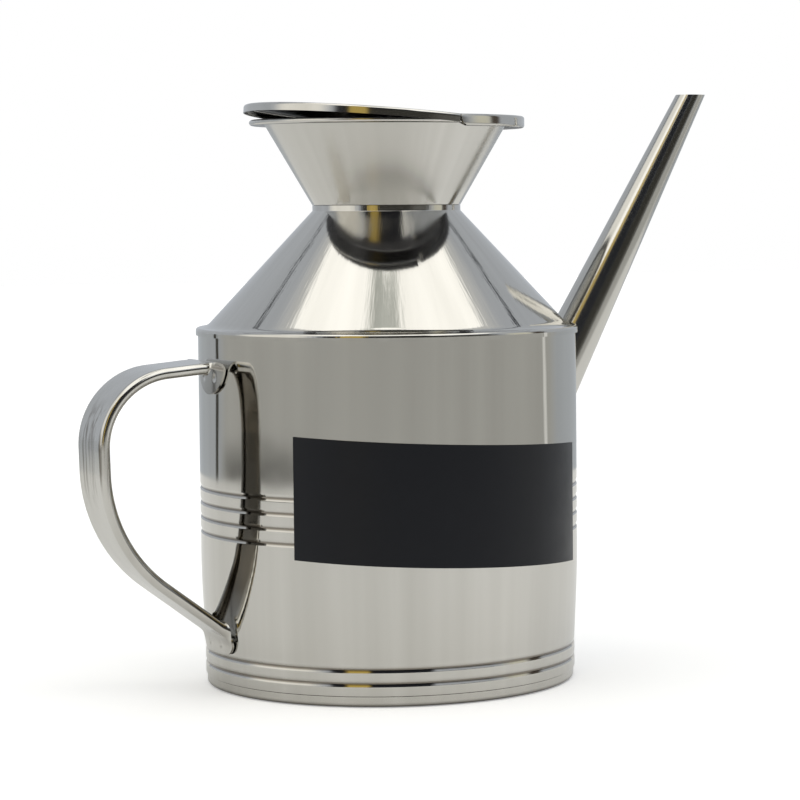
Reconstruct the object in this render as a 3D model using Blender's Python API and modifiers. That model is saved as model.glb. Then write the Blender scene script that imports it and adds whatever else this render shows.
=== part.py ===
# Stainless steel kitchen oil can, tinsmith style: a beaded round body with a conical shoulder, a filling
# funnel under a split lid, a long conical spout at +X, a strap handle at -X and a bare dark label at -Y.
# Metres, +Z up. The origin is on the can's axis, on the table that it stands on.

import math

import bmesh
import bpy
from mathutils import Matrix, Vector

MM = 0.001

# Sheet metal and the clearances between the pieces
wall_sheet = 0.40 * MM
lid_sheet = 0.40 * MM
spout_sheet = 0.50 * MM
strap_sheet = 0.50 * MM
label_sheet = 0.15 * MM
seat_gap = 0.30 * MM
label_gap = 0.15 * MM
pin_gap = 0.10 * MM

# Body: a rolled cylinder with a seam bead on top and a hemmed base
body_radius = 45.0 * MM
body_height = 84.4 * MM
bead_depth = 1.7 * MM
bead_stand = 0.5 * MM
foot_draw = 0.75 * MM
foot_height = 15.5 * MM
foot_neck = 9.9 * MM

# Rolled grooves: four round the middle, two above the base
groove_width = 1.4 * MM
groove_depth = 0.28 * MM
groove_pitch = 3.45 * MM
middle_groove_top = 47.0 * MM
middle_groove_count = 4
foot_groove_pitch = 3.2 * MM
foot_groove_top = 8.5 * MM
foot_groove_count = 2

# Base disc: a shallow pan whose rim wraps the wall's lower edge
rim_inset = 1.1 * MM
rim_height = 2.3 * MM
rim_fold = 0.6 * MM
panel_recess = 0.9 * MM

# Shoulder cone and neck
shoulder_rise = 27.4 * MM
shoulder_inset = 1.85 * MM
neck_radius = 17.6 * MM
collar_height = 1.3 * MM
spigot_depth = 3.5 * MM

# Filling funnel with its rolled flange
funnel_rise = 18.4 * MM
funnel_mouth_radius = 28.8 * MM
flange_reach = 3.5 * MM
flange_thickness = 1.5 * MM
flange_lip = 3.4 * MM

# Split lid: the spout side is crimped on, the handle side is the hinged flap
lid_fold = 0.6 * MM
crimp_reach = 2.3 * MM
crimp_corner = 1.2 * MM
flap_skirt = 1.9 * MM
flap_clear = 0.9 * MM
flap_ajar = math.radians(4.8)
hinge_offset = 3.4 * MM
hinge_sink = 0.45 * MM
fixed_edge_back = 0.60 * MM
flap_edge_back = 0.10 * MM
pin_radius = 0.40 * MM
barrel_clear = 1.0 * MM
knuckle_gap = 0.25 * MM
knuckle_count = 5

# Spout: a conical tube in the y = 0 plane, cut level at its tip
spout_drop = 14.3 * MM
spout_reach = 39.8 * MM
spout_tip_height = 140.3 * MM
spout_tip_radius = 3.3 * MM
spout_root_radius = 6.65 * MM
spout_hole_margin = 1.5 * MM
spout_seat_depth = 16.5 * MM
spout_spare = 6.5 * MM

# Handle: a strap with curled edges, bent down along the wall at its half-round top and square foot
strap_width = 16.2 * MM
foot_tab_width = 17.2 * MM
foot_tab_corner = 3.0 * MM
curl_radius = 1.3 * MM
curl_lip = 1.1 * MM
flat_edge = 0.9 * MM
top_curl_run = 2.6 * MM
foot_curl_run = 6.0 * MM
handle_drop = 6.7 * MM
handle_reach = 30.5 * MM
grip_fall = 2.6 * MM
grip_lean = 1.0 * MM
knee_height = 35.6 * MM
handle_foot = 13.4 * MM
grip_corner_radius = 18.0 * MM
knee_radius = 36.0 * MM
top_bend_radius = 2.0 * MM
foot_bend_radius = 4.0 * MM
top_tab_length = 8.1 * MM
foot_tab_length = 4.0 * MM
top_weld_rise = 4.0 * MM
foot_weld_rise = 2.2 * MM
weld_spacing = 3.2 * MM
weld_mouth_radius = 0.96 * MM
weld_floor_radius = 0.64 * MM
weld_depth = 0.16 * MM

# Label band
label_bottom = 33.2 * MM
label_height = 28.0 * MM
label_sag = 4.2 * MM
label_angle = math.radians(101.0)
label_centre = math.radians(-93.0)

# Fineness of the round shapes
round_steps = 44
fold_steps = 3
hinge_sides = 16
spout_sides = 32
weld_sides = 12
label_steps = 13
end_sixths = (0.6, 1.3, 2, 3, 4, 5, 6)
strap_turn = math.radians(13.0)
curl_steps = 5
ring_spacing = 0.25 * MM

# Heights and radii that follow from the sizes above
bead_radius = body_radius + bead_stand
bead_bottom = body_height - bead_depth
wall_top_radius = bead_radius - wall_sheet - seat_gap
wall_top = body_height - wall_sheet - seat_gap
rim_radius = body_radius - rim_inset
wall_foot_radius = rim_radius - wall_sheet - seat_gap
neck_bottom = body_height + shoulder_rise
collar_top = neck_bottom + collar_height
funnel_bottom = collar_top + seat_gap
spigot_radius = neck_radius - wall_sheet - seat_gap
flange_bottom = funnel_bottom + funnel_rise
flange_top = flange_bottom + flange_thickness
flange_radius = funnel_mouth_radius + flange_reach
lid_top = flange_top + seat_gap + lid_sheet
lid_radius = flange_radius + seat_gap + lid_sheet
flap_radius = flange_radius + flap_clear + lid_sheet
crimp_bottom = flange_bottom - seat_gap - lid_sheet
hinge_height = lid_top - hinge_sink
knuckle_radius = pin_radius + pin_gap + lid_sheet
flange_inner_radius = flange_radius - flange_lip
barrel_half = math.sqrt(flange_inner_radius**2 - (hinge_offset + knuckle_radius) ** 2) - barrel_clear
spout_root_height = body_height - spout_drop
spout_tip_x = body_radius + spout_reach

# Collections and the clean start
for thing in list(bpy.data.objects):
    bpy.data.objects.remove(thing, do_unlink=True)
scene = bpy.context.scene
parts = bpy.data.collections.new("oil_can")
cutters = bpy.data.collections.new("cutters")
scene.collection.children.link(parts)
scene.collection.children.link(cutters)


def linear(hex_colour):
    """sRGB hex to Blender's linear colour."""
    channels = [int(hex_colour[i : i + 2], 16) / 255 for i in (1, 3, 5)]
    bent = [c / 12.92 if c <= 0.04045 else ((c + 0.055) / 1.055) ** 2.4 for c in channels]
    return (*bent, 1.0)


def finish(name, hex_colour, metallic, roughness):
    """A Principled material for one piece."""
    look = bpy.data.materials.new(name)
    look.use_nodes = True
    shader = look.node_tree.nodes["Principled BSDF"]
    shader.inputs["Base Color"].default_value = linear(hex_colour)
    shader.inputs["Metallic"].default_value = metallic
    shader.inputs["Roughness"].default_value = roughness
    return look


def place(name, mesh, look=None):
    """Links a mesh as a part with its finish or, with none, as a wire-drawn cutter."""
    thing = bpy.data.objects.new(name, mesh)
    if look is None:
        thing.hide_render = True
        thing.display_type = "WIRE"
        cutters.objects.link(thing)
    else:
        mesh.materials.append(look)
        parts.objects.link(thing)
    return thing


def rounded(corners, steps=fold_steps):
    """Points along a run of (x, z, radius) corners, each with a radius turned into a tangent arc."""
    points = []
    for i, corner in enumerate(corners):
        here = Vector(corner[:2])
        radius = corner[2] if len(corner) > 2 else 0.0
        if radius == 0.0:
            points.append(tuple(here))
            continue
        back = (Vector(corners[i - 1][:2]) - here).normalized()
        ahead = (Vector(corners[i + 1][:2]) - here).normalized()
        half = back.angle(ahead) / 2
        centre = here + (back + ahead).normalized() * radius / math.sin(half)
        start = here + back * radius / math.tan(half) - centre
        turn = start.angle_signed(here + ahead * radius / math.tan(half) - centre)
        for k in range(steps + 1):
            point = centre + Matrix.Rotation(-turn * k / steps, 2) @ start
            if not points or (point - Vector(points[-1])).length > 0.001 * MM:
                points.append(tuple(point))
    return points


def turned(name, outline, look=None, sheet=0.0, angle=math.tau, steps=round_steps, sag=0.0):
    """Spins an (r, z) outline, drawn down its outer side, about Z; sheet thickens it inwards. A part
    turn can sag, which lowers its far end."""
    mesh = bpy.data.meshes.new(name)
    chain = [(i, i + 1) for i in range(len(outline) - 1)]
    mesh.from_pydata([(r, 0.0, z) for r, z in outline], chain, [])
    thing = place(name, mesh, look)
    spin = thing.modifiers.new("spin", "SCREW")
    spin.angle = angle
    spin.steps = spin.render_steps = steps
    spin.screw_offset = -sag
    spin.use_merge_vertices = True
    spin.merge_threshold = 0.00001
    if sheet:
        skin = thing.modifiers.new("sheet", "SOLIDIFY")
        skin.thickness = sheet
        skin.offset = -1.0
        skin.use_even_offset = True
        skin.use_quality_normals = True
    return thing


def rod(name, start, end, start_radius, end_radius, sides, look=None):
    """A closed round bar or cone between two points."""
    start, end = Vector(start), Vector(end)
    shape = bmesh.new()
    bmesh.ops.create_cone(
        shape,
        cap_ends=True,
        segments=sides,
        radius1=start_radius,
        radius2=end_radius,
        depth=(end - start).length,
    )
    mesh = bpy.data.meshes.new(name)
    shape.to_mesh(mesh)
    shape.free()
    thing = place(name, mesh, look)
    thing.rotation_mode = "QUATERNION"
    thing.rotation_quaternion = (end - start).to_track_quat("Z", "Y")
    thing.location = (start + end) / 2
    return thing


def slab(name, outline, half_depth):
    """A cutter: a flat (x, z) outline pulled along Y to both sides."""
    shape = bmesh.new()
    rim = [shape.verts.new((x, -half_depth, z)) for x, z in outline]
    face = shape.faces.new(rim)
    pulled = bmesh.ops.extrude_face_region(shape, geom=[face])
    moved = [v for v in pulled["geom"] if isinstance(v, bmesh.types.BMVert)]
    bmesh.ops.translate(shape, vec=(0.0, 2 * half_depth, 0.0), verts=moved)
    bmesh.ops.recalc_face_normals(shape, faces=shape.faces)
    mesh = bpy.data.meshes.new(name)
    shape.to_mesh(mesh)
    shape.free()
    return place(name, mesh)


def combine(thing, other, operation):
    """Adds one exact Boolean step to a piece."""
    step = thing.modifiers.new(operation.lower() + "_" + other.name, "BOOLEAN")
    step.operation = operation
    step.solver = "EXACT"
    step.object = other


def groove(radius_at, height):
    """Three points of a shallow rolled groove, drawn downwards."""
    half = groove_width / 2
    top, foot = height + half, height - half
    return [(radius_at(top), top), (radius_at(height) - groove_depth, height), (radius_at(foot), foot)]


def wall_radius(height):
    """The wall is straight, draws in a little over its foot and is straight again below."""
    share = (foot_height - height) / (foot_height - foot_neck)
    return body_radius - foot_draw * min(1.0, max(0.0, share))


polished = finish("polished_stainless", "#A7A6A2", 1.0, 0.10)
satin = finish("satin_stainless", "#B9BABB", 1.0, 0.22)
strap_steel = finish("strap_stainless", "#9C9B98", 1.0, 0.14)
spout_steel = finish("spout_stainless", "#AFAEAA", 1.0, 0.12)
wire_steel = finish("hinge_wire", "#8E8E8C", 1.0, 0.25)
label_black = finish("charcoal_label", "#202124", 0.0, 0.45)


# Body wall: one rolled sheet, necked under the bead and again behind the base rim
wall_step = rim_height + seat_gap
wall_outline = [
    (wall_top_radius, wall_top),
    (wall_top_radius, bead_bottom),
    (body_radius, bead_bottom - seat_gap),
]
for n in range(middle_groove_count):
    wall_outline += groove(wall_radius, middle_groove_top - n * groove_pitch)
wall_outline += [(body_radius, foot_height), (wall_radius(foot_neck), foot_neck)]
for n in range(foot_groove_count):
    wall_outline += groove(wall_radius, foot_groove_top - n * foot_groove_pitch)
wall_outline += [
    (wall_radius(wall_step), wall_step + seat_gap),
    (wall_foot_radius, wall_step),
    (wall_foot_radius, wall_sheet + seat_gap),
]
body_wall = turned("body_wall", wall_outline, polished, wall_sheet)

# Base disc: its rim holds the wall's lower edge in a channel, and its panel is stamped up a little
pan_radius = wall_foot_radius - 2 * wall_sheet - seat_gap
base_outline = rounded(
    [
        (rim_radius, rim_height),
        (rim_radius, 0.0, rim_fold),
        (pan_radius, 0.0),
        (pan_radius, panel_recess),
        (0.0, panel_recess),
    ]
)
turned("base_disc", base_outline, satin, wall_sheet)

# Shoulder cone: its outer edge is rolled over the wall as the seam bead, its top is a short collar
cone_foot_radius = body_radius - shoulder_inset
shoulder_outline = rounded(
    [
        (neck_radius, collar_top),
        (neck_radius, neck_bottom),
        (cone_foot_radius, body_height),
        (bead_radius, body_height, rim_fold),
        (bead_radius, bead_bottom),
    ]
)
turned("shoulder_cone", shoulder_outline, polished, wall_sheet)

# Filling funnel: a spigot in the collar, the cone, and a flange that is rolled out and back in on top
roll = flange_thickness / 2
funnel_outline = rounded(
    [
        (flange_inner_radius, flange_top),
        (flange_radius, flange_top, roll),
        (flange_radius, flange_bottom, roll),
        (funnel_mouth_radius, flange_bottom),
        (neck_radius, funnel_bottom),
        (spigot_radius, funnel_bottom),
        (spigot_radius, funnel_bottom - spigot_depth),
    ]
)
turned("filling_funnel", funnel_outline, polished, wall_sheet)

# Fixed half of the lid: the spout side, crimped under the flange, with three knuckles of the hinge
knuckle_pitch = 2 * barrel_half / knuckle_count
fixed_edge = hinge_offset + fixed_edge_back
far = 2 * flange_radius


def barrel(name, n, radius, spare, look=None):
    """A rod on the hinge line over knuckle n, shorter or longer than its pitch by spare at each end."""
    start = (hinge_offset, -barrel_half + n * knuckle_pitch - spare, hinge_height)
    end = (hinge_offset, -barrel_half + (n + 1) * knuckle_pitch + spare, hinge_height)
    return rod(name, start, end, radius, radius, hinge_sides, look)


def hinge_half(lid, own, others, carrier=None):
    """Clears the other half's knuckles, adds the lid's own and bores them for the pin."""
    tools = []
    for n in others:
        notch = barrel(f"{lid.name}_notch_{n}", n, knuckle_radius + knuckle_gap, seat_gap / 3)
        combine(lid, notch, "DIFFERENCE")
        tools.append(notch)
    for n in own:
        knuckle = barrel(f"{lid.name}_knuckle_{n}", n, knuckle_radius, -seat_gap / 2)
        combine(lid, knuckle, "UNION")
        tools.append(knuckle)
    start, end = (hinge_offset, -barrel_half, hinge_height), (hinge_offset, barrel_half, hinge_height)
    bore = rod(f"{lid.name}_bore", start, end, pin_radius + pin_gap, pin_radius + pin_gap, hinge_sides)
    combine(lid, bore, "DIFFERENCE")
    tools.append(bore)
    return tools


fixed_outline = rounded(
    [
        (0.0, lid_top),
        (lid_radius, lid_top, lid_fold),
        (lid_radius, crimp_bottom, lid_fold),
        (lid_radius - crimp_reach, crimp_bottom),
    ]
)
fixed_half = turned("fixed_half_lid", fixed_outline, polished, lid_sheet)
quarter = [math.radians(90 * k / fold_steps) for k in range(fold_steps + 1)]
corner_x, corner_z = fixed_edge + crimp_corner, crimp_bottom + crimp_corner
arc_points = [(math.sin(a), math.cos(a)) for a in quarter]
corner_arc = [(corner_x - crimp_corner * s, corner_z - crimp_corner * c) for s, c in arc_points]
flap_side = [(-far, 0.0), (corner_x, 0.0), *corner_arc, (fixed_edge, far + lid_top), (-far, far + lid_top)]
combine(fixed_half, slab("flap_side", flap_side, far), "DIFFERENCE")
fixed_knuckles = range(0, knuckle_count, 2)
flap_knuckles = range(1, knuckle_count, 2)
hinge_half(fixed_half, fixed_knuckles, flap_knuckles)

# Hinged flap: the handle side, built shut and then turned up about the hinge as it stands in use
lid_hinge = bpy.data.objects.new("lid_hinge", None)
lid_hinge.location = (hinge_offset, 0.0, hinge_height)
parts.objects.link(lid_hinge)
flap_outline = rounded(
    [
        (0.0, lid_top),
        (flap_radius, lid_top, lid_fold),
        (flap_radius, lid_top - flap_skirt),
    ]
)
flap = turned("hinged_half_lid", flap_outline, polished, lid_sheet)
flap_edge = hinge_offset - flap_edge_back
spout_side = [(flap_edge, 0.0), (far, 0.0), (far, far + lid_top), (flap_edge, far + lid_top)]
spout_side_cut = slab("spout_side", spout_side, far)
combine(flap, spout_side_cut, "DIFFERENCE")
hinge_tools = hinge_half(flap, flap_knuckles, fixed_knuckles)
bpy.context.view_layer.update()
for thing in [flap, spout_side_cut, *hinge_tools]:
    thing.parent = lid_hinge
    thing.matrix_parent_inverse = lid_hinge.matrix_world.inverted()
lid_hinge.rotation_euler.y = flap_ajar

# Hinge pin: a straight wire through all the knuckles
pin_end = barrel_half - seat_gap / 2
pin_ends = [(hinge_offset, side * pin_end, hinge_height) for side in (-1, 1)]
rod("hinge_pin", *pin_ends, pin_radius, pin_radius, hinge_sides, wire_steel)

# Spout: a rolled cone whose root is cut to sit over the wall, the bead and the edge of the shoulder
root = Vector((body_radius, 0.0, spout_root_height))
tip = Vector((spout_tip_x, 0.0, spout_tip_height))
along = (tip - root).normalized()
taper = (spout_root_radius - spout_tip_radius) / (tip - root).length
spout_start, spout_end = root - along * spout_seat_depth, tip + along * spout_spare
start_radius = spout_root_radius + taper * spout_seat_depth
end_radius = spout_tip_radius - taper * spout_spare
spout = rod("spout_tube", spout_start, spout_end, start_radius, end_radius, spout_sides, spout_steel)
bore_ends = (spout_start - along * MM, spout_end + along * MM)
bore_radii = (start_radius - spout_sheet + taper * MM, end_radius - spout_sheet - taper * MM)
combine(spout, rod("spout_bore", *bore_ends, *bore_radii, spout_sides), "DIFFERENCE")
cone_run = cone_foot_radius - neck_radius
cone_gap = seat_gap * math.hypot(cone_run, shoulder_rise) / cone_run
seat_outline = [
    (0.0, neck_bottom + cone_gap),
    (neck_radius, neck_bottom + cone_gap),
    (cone_foot_radius, body_height + cone_gap),
    (bead_radius + seat_gap, body_height + seat_gap),
    (bead_radius + seat_gap, bead_bottom - seat_gap),
    (body_radius + seat_gap, bead_bottom - seat_gap),
    (body_radius + seat_gap, foot_height),
    (0.0, foot_height),
]
combine(spout, turned("spout_seat", seat_outline), "DIFFERENCE")
level = [(0.0, spout_tip_height), (2 * spout_tip_x, spout_tip_height)]
level += [(x, 2 * spout_tip_height) for x, z in reversed(level)]
combine(spout, slab("spout_level", level, body_radius), "DIFFERENCE")

# The oil's way from the body into the spout, kept below the seam bead
hole_rise = bead_bottom - spout_hole_margin - spout_root_height
hole_radius = hole_rise * along.x
hole_ends = (root - along * spout_seat_depth, root + along * spout_seat_depth)
combine(body_wall, rod("spout_hole", *hole_ends, hole_radius, hole_radius, spout_sides), "DIFFERENCE")


# Handle: one strap whose edges are curled under, lofted along its path because the section changes
# from the flat, wall-hugging tabs to the curled grip
def bent_path(corners):
    """Runs of constant curvature through (x, z, radius) corners: length, start, heading, curvature."""
    spots = [Vector(c[:2]) for c in corners]
    headings = [math.atan2(*(b - a).yx) for a, b in zip(spots, spots[1:])]
    runs = []
    cut = 0.0
    for i, heading in enumerate(headings):
        turn, radius = 0.0, 0.0
        if i + 1 < len(headings):
            turn = (headings[i + 1] - heading + math.pi) % math.tau - math.pi
            radius = corners[i + 1][2]
        next_cut = radius * math.tan(abs(turn) / 2)
        ahead = Vector((math.cos(heading), math.sin(heading)))
        length = (spots[i + 1] - spots[i]).length
        runs.append((length - cut - next_cut, spots[i] + ahead * cut, heading, 0.0))
        if turn:
            arc_start = spots[i + 1] - ahead * next_cut
            runs.append((radius * abs(turn), arc_start, heading, math.copysign(1 / radius, turn)))
        cut = next_cut
    return runs


def along_path(runs, distance):
    """Point and heading at a distance along the runs."""
    for length, start, heading, bend in runs:
        if distance <= length + 0.001 * MM or (length, start, heading, bend) == runs[-1]:
            break
        distance -= length
    turned_to = heading + bend * distance
    if bend == 0.0:
        step = Vector((math.cos(heading), math.sin(heading))) * distance
    else:
        swing = math.sin(turned_to) - math.sin(heading), math.cos(heading) - math.cos(turned_to)
        step = Vector(swing) / bend
    return start + step, turned_to


def strap_edge(curl, half_width):
    """Sheet's middle line from the strap's centre to its +Y edge: (y, depth, slope), curl 0 to 1."""
    slope = math.pi * max(curl, 0.001)
    arc = (1 - curl) * flat_edge * 2 / 3 + curl * math.pi * (curl_radius - strap_sheet / 2)
    lip = (1 - curl) * flat_edge / 3 + curl * curl_lip
    bend = slope / arc
    quarter_slope = min(slope, math.pi / 2)
    reach = math.sin(quarter_slope) * (1 / bend + strap_sheet / 2) + lip * max(0.0, math.cos(slope))
    flat = half_width - reach
    line = [(flat / 2, strap_sheet / 2, 0.0), (flat, strap_sheet / 2, 0.0)]
    for k in range(1, fold_steps + 2):
        a = slope * k / (fold_steps + 1)
        line.append((flat + math.sin(a) / bend, strap_sheet / 2 + (1 - math.cos(a)) / bend, a))
    y, depth, _ = line[-1]
    line.append((y + lip * math.cos(slope), depth + lip * math.sin(slope), slope))
    return line


def strap_ring(curl, half_width, narrow):
    """Closed (y, depth) outline of the strap's sheet; narrow scales its width for the rounded ends."""
    half = strap_edge(curl, half_width)
    outer = [(y + math.sin(a) * strap_sheet / 2, d - math.cos(a) * strap_sheet / 2) for y, d, a in half]
    inner = [(y - math.sin(a) * strap_sheet / 2, d + math.cos(a) * strap_sheet / 2) for y, d, a in half]
    outer = [(-y, d) for y, d in reversed(outer)] + [(0.0, 0.0)] + outer
    inner = [(-y, d) for y, d in reversed(inner)] + [(0.0, strap_sheet)] + inner
    return [(narrow * y, d) for y, d in outer], [(narrow * y, d) for y, d in inner]


def smooth(share):
    """Eases a share from 0 to 1 in and out."""
    share = min(1.0, max(0.0, share))
    return share * share * (3 - 2 * share)


tab_x = body_radius + seat_gap
foot_tab_bottom = handle_foot - foot_tab_length
foot_tab_x = wall_radius(handle_foot) + seat_gap + strap_sheet
foot_end_x = wall_radius(foot_tab_bottom) + seat_gap + strap_sheet
arm_height = body_height - handle_drop
grip_x = body_radius + handle_reach
handle_path = bent_path(
    [
        (-tab_x, arm_height - top_tab_length),
        (-tab_x, arm_height, top_bend_radius),
        (-grip_x, arm_height - grip_fall, grip_corner_radius),
        (grip_lean - grip_x, knee_height, knee_radius),
        (-foot_tab_x, handle_foot, foot_bend_radius),
        (-foot_end_x, foot_tab_bottom),
    ]
)
run_ends = [sum(run[0] for run in handle_path[: i + 1]) for i in range(len(handle_path))]
strap_length = run_ends[-1]
curl_from, curl_to = run_ends[1], run_ends[-2]
half_width = strap_width / 2
marks = []
so_far = 0.0
for length, _, _, bend in handle_path:
    pieces = max(1, math.ceil(abs(bend) * length / strap_turn))
    marks += [so_far + length * k / pieces for k in range(1, pieces + 1)]
    so_far += length
sixths = [math.radians(90 * k / 6) for k in end_sixths]
top_marks = [half_width * (1 - math.cos(a)) for a in sixths]
foot_marks = [foot_tab_corner * (1 - math.cos(a)) for a in sixths[::2]]
marks += top_marks + [strap_length - mark for mark in foot_marks]
marks += [curl_from + top_curl_run * k / curl_steps for k in range(curl_steps + 1)]
marks += [curl_to - foot_curl_run * k / curl_steps for k in range(curl_steps + 1)]
marks = sorted(mark for mark in marks if top_marks[0] <= mark <= strap_length - foot_marks[0])

loft = bmesh.new()
rings = []
last = -1.0
for mark in marks:
    if mark - last < ring_spacing:
        continue
    last = mark
    centre, heading = along_path(handle_path, mark)
    normal = Vector((math.sin(heading), -math.cos(heading)))
    curl = smooth((mark - curl_from) / top_curl_run) * smooth((curl_to - mark) / foot_curl_run)
    to_foot = smooth(1 - (curl_to - mark) / foot_curl_run)
    half = half_width + (foot_tab_width / 2 - half_width) * to_foot
    if mark < half_width:
        narrow = math.sqrt(1 - (1 - mark / half_width) ** 2)
    else:
        past_corner = max(0.0, foot_tab_corner - (strap_length - mark))
        narrow = 1 - (foot_tab_corner - math.sqrt(foot_tab_corner**2 - past_corner**2)) / half
    fade = min(mark - run_ends[0], run_ends[-2] - mark)
    bend_length = handle_path[1][0] if mark < strap_length / 2 else handle_path[-2][0]
    hug = 1 - min(1.0, max(0.0, fade / bend_length))
    sides = []
    for side in strap_ring(curl, half, narrow):
        row = []
        for y, depth in side:
            x, z = centre - normal * depth
            x += hug * (abs(x) - math.sqrt(x * x - y * y))
            row.append(loft.verts.new((x, y, z)))
        sides.append(row)
    rings.append(sides[0] + sides[1][::-1])
count = len(rings[0])
for near, nxt in zip(rings, rings[1:]):
    for i in range(count):
        loft.faces.new((near[i], near[(i + 1) % count], nxt[(i + 1) % count], nxt[i]))
for ring in (rings[0], rings[-1]):
    for i in range(count // 2 - 1):
        loft.faces.new((ring[i], ring[i + 1], ring[count - 2 - i], ring[count - 1 - i]))
bmesh.ops.recalc_face_normals(loft, faces=loft.faces)
strap_mesh = bpy.data.meshes.new("handle_strap")
loft.to_mesh(strap_mesh)
loft.free()
strap = place("handle_strap", strap_mesh, strap_steel)

# Two spot welds dimple each tab
top_weld = arm_height - top_tab_length + top_weld_rise
foot_weld = foot_tab_bottom + foot_weld_rise
tabs = [("top", top_weld, body_radius), ("foot", foot_weld, wall_radius(foot_weld))]
for tab, height, sheet_radius in tabs:
    tab_face = sheet_radius + seat_gap + strap_sheet
    for side in (-1, 1):
        a = math.asin(side * weld_spacing / tab_face)
        spoke = Vector((-math.cos(a), math.sin(a), 0.0))
        up = Vector((0.0, 0.0, height))
        mouth = spoke * (tab_face + weld_depth) + up
        floor = spoke * (tab_face - weld_depth) + up
        dent = rod(f"weld_{tab}_{side}", floor, mouth, weld_floor_radius, weld_mouth_radius, weld_sides)
        combine(strap, dent, "DIFFERENCE")

# Label band: a plain dark sheet wrapped round the front over the middle grooves, a little crooked
label_radius = body_radius + label_gap + label_sheet
label_outline = [(label_radius, label_bottom + label_height), (label_radius, label_bottom)]
label = turned("front_label", label_outline, label_black, label_sheet, label_angle, label_steps, label_sag)
label.rotation_euler.z = label_centre - label_angle / 2

for thing in parts.objects:
    if thing.type == "MESH":
        thing.data.shade_smooth()
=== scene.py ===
# The looks of a stainless steel kitchen oil can: polished sheet, a bare dark label, a pale studio.

import math

import bmesh
import bpy
import numpy as np
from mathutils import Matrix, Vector


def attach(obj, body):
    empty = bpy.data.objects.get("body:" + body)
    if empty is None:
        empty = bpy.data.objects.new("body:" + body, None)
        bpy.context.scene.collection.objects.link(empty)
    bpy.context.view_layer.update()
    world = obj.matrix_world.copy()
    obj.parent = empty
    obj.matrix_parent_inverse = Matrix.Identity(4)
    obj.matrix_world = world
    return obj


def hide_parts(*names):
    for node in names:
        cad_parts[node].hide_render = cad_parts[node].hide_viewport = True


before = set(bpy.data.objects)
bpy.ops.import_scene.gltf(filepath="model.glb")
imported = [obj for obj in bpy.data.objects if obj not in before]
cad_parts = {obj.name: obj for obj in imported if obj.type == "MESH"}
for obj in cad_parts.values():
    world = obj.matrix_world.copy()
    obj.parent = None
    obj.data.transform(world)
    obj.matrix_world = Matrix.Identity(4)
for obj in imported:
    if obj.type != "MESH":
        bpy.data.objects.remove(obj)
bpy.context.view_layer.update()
MM = 0.001


# Body wall: one polished stainless sheet, 0.4 mm thick, rolled round to 90 mm and seam welded. A
# roller has pressed four shallow grooves round its middle and two above the foot. Its top edge stands
# in the shoulder's seam bead, and it is necked in where the base rim folds round its lower edge.
wall_sheet = 0.40 * MM
seam = 0.05 * MM
body_radius = 45.0 * MM
body_height = 84.4 * MM
bead_radius = body_radius + 0.5 * MM
bead_bottom = body_height - 1.7 * MM
groove_width = 1.4 * MM
groove_depth = 0.28 * MM
groove_lip = 0.25 * MM
groove_round = 0.45 * MM
groove_pitch = 3.45 * MM
foot_groove_pitch = 3.2 * MM
middle_grooves = [47.0 * MM - n * groove_pitch for n in range(4)]
foot_grooves = [8.5 * MM - n * foot_groove_pitch for n in range(2)]
foot_height = 26.0 * MM
foot_neck = 9.9 * MM
foot_draw = 0.75 * MM
foot_sweep = 250.0 * MM
foot_turn = 5.0 * MM
rim_height = 2.3 * MM
rim_radius = body_radius - 1.1 * MM


def unit(vector):
    """The vector shortened or stretched to length one."""
    return vector / np.linalg.norm(vector)


def filleted(corners, arc_steps=7, support=0.25 * MM):
    """Outline through (r, z, radius) corners. At each one, the arc of that radius which touches both
    sides: points at equal turns about centre = corner + bisector * radius / sin(half angle). Long
    flats get a support point near each end, so that smooth shading leaves them flat."""
    corners = [(*corner, 0.0)[:3] for corner in corners]
    spots = np.array([corner[:2] for corner in corners])
    arcs = [spots[:1]]
    for before, here, after, corner in zip(spots, spots[1:], spots[2:], corners[1:]):
        back, ahead, radius = unit(before - here), unit(after - here), max(corner[2], 0.02 * MM)
        half = math.acos(np.clip(back @ ahead, -1.0, 1.0)) / 2
        centre = here + unit(back + ahead) * radius / math.sin(half)
        start, stop = (here + side * radius / math.tan(half) - centre for side in (back, ahead))
        sweep = math.pi - 2 * half
        share = np.linspace(0.0, 1.0, arc_steps + 1)[:, None]
        spoke = np.sin((1 - share) * sweep) * start + np.sin(share * sweep) * stop
        arcs.append(centre + spoke / math.sin(sweep))
    arcs.append(spots[-1:])
    line = [arcs[0]]
    for near, far in zip(arcs, arcs[1:]):
        flat = far[0] - near[-1]
        length = np.linalg.norm(flat)
        if length > 4 * support:
            line += [near[-1:] + flat * support / length, far[:1] - flat * support / length]
        line.append(far)
    return np.concatenate(line)


def inset(corners, depth):
    """The same corners moved inwards, to the right of the way they run: each lies where its two moved
    sides cross, and its radius shrinks by depth on an outer bend and grows by it on an inner one."""
    corners = [(*corner, 0.0)[:3] for corner in corners]
    spots = np.array([corner[:2] for corner in corners])
    along = [unit(b - a) for a, b in zip(spots, spots[1:])]
    inward = [np.array((way[1], -way[0])) for way in along]
    moved = [(*(spots[0] + inward[0] * depth), 0.0)]
    for i in range(1, len(corners) - 1):
        mitre = unit(inward[i - 1] + inward[i])
        spot = spots[i] + mitre * depth / (mitre @ inward[i])
        turn = along[i - 1][0] * along[i][1] - along[i - 1][1] * along[i][0]
        moved.append((*spot, max(0.0, corners[i][2] + math.copysign(depth, turn))))
    moved.append((*(spots[-1] + inward[-1] * depth), 0.0))
    return moved


def sheet_ring(corners, thickness):
    """Closed (r, z) section of a bent sheet: the outer line out, and the inset line back."""
    return np.concatenate([filleted(corners), filleted(inset(corners, thickness))[::-1]])


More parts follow.
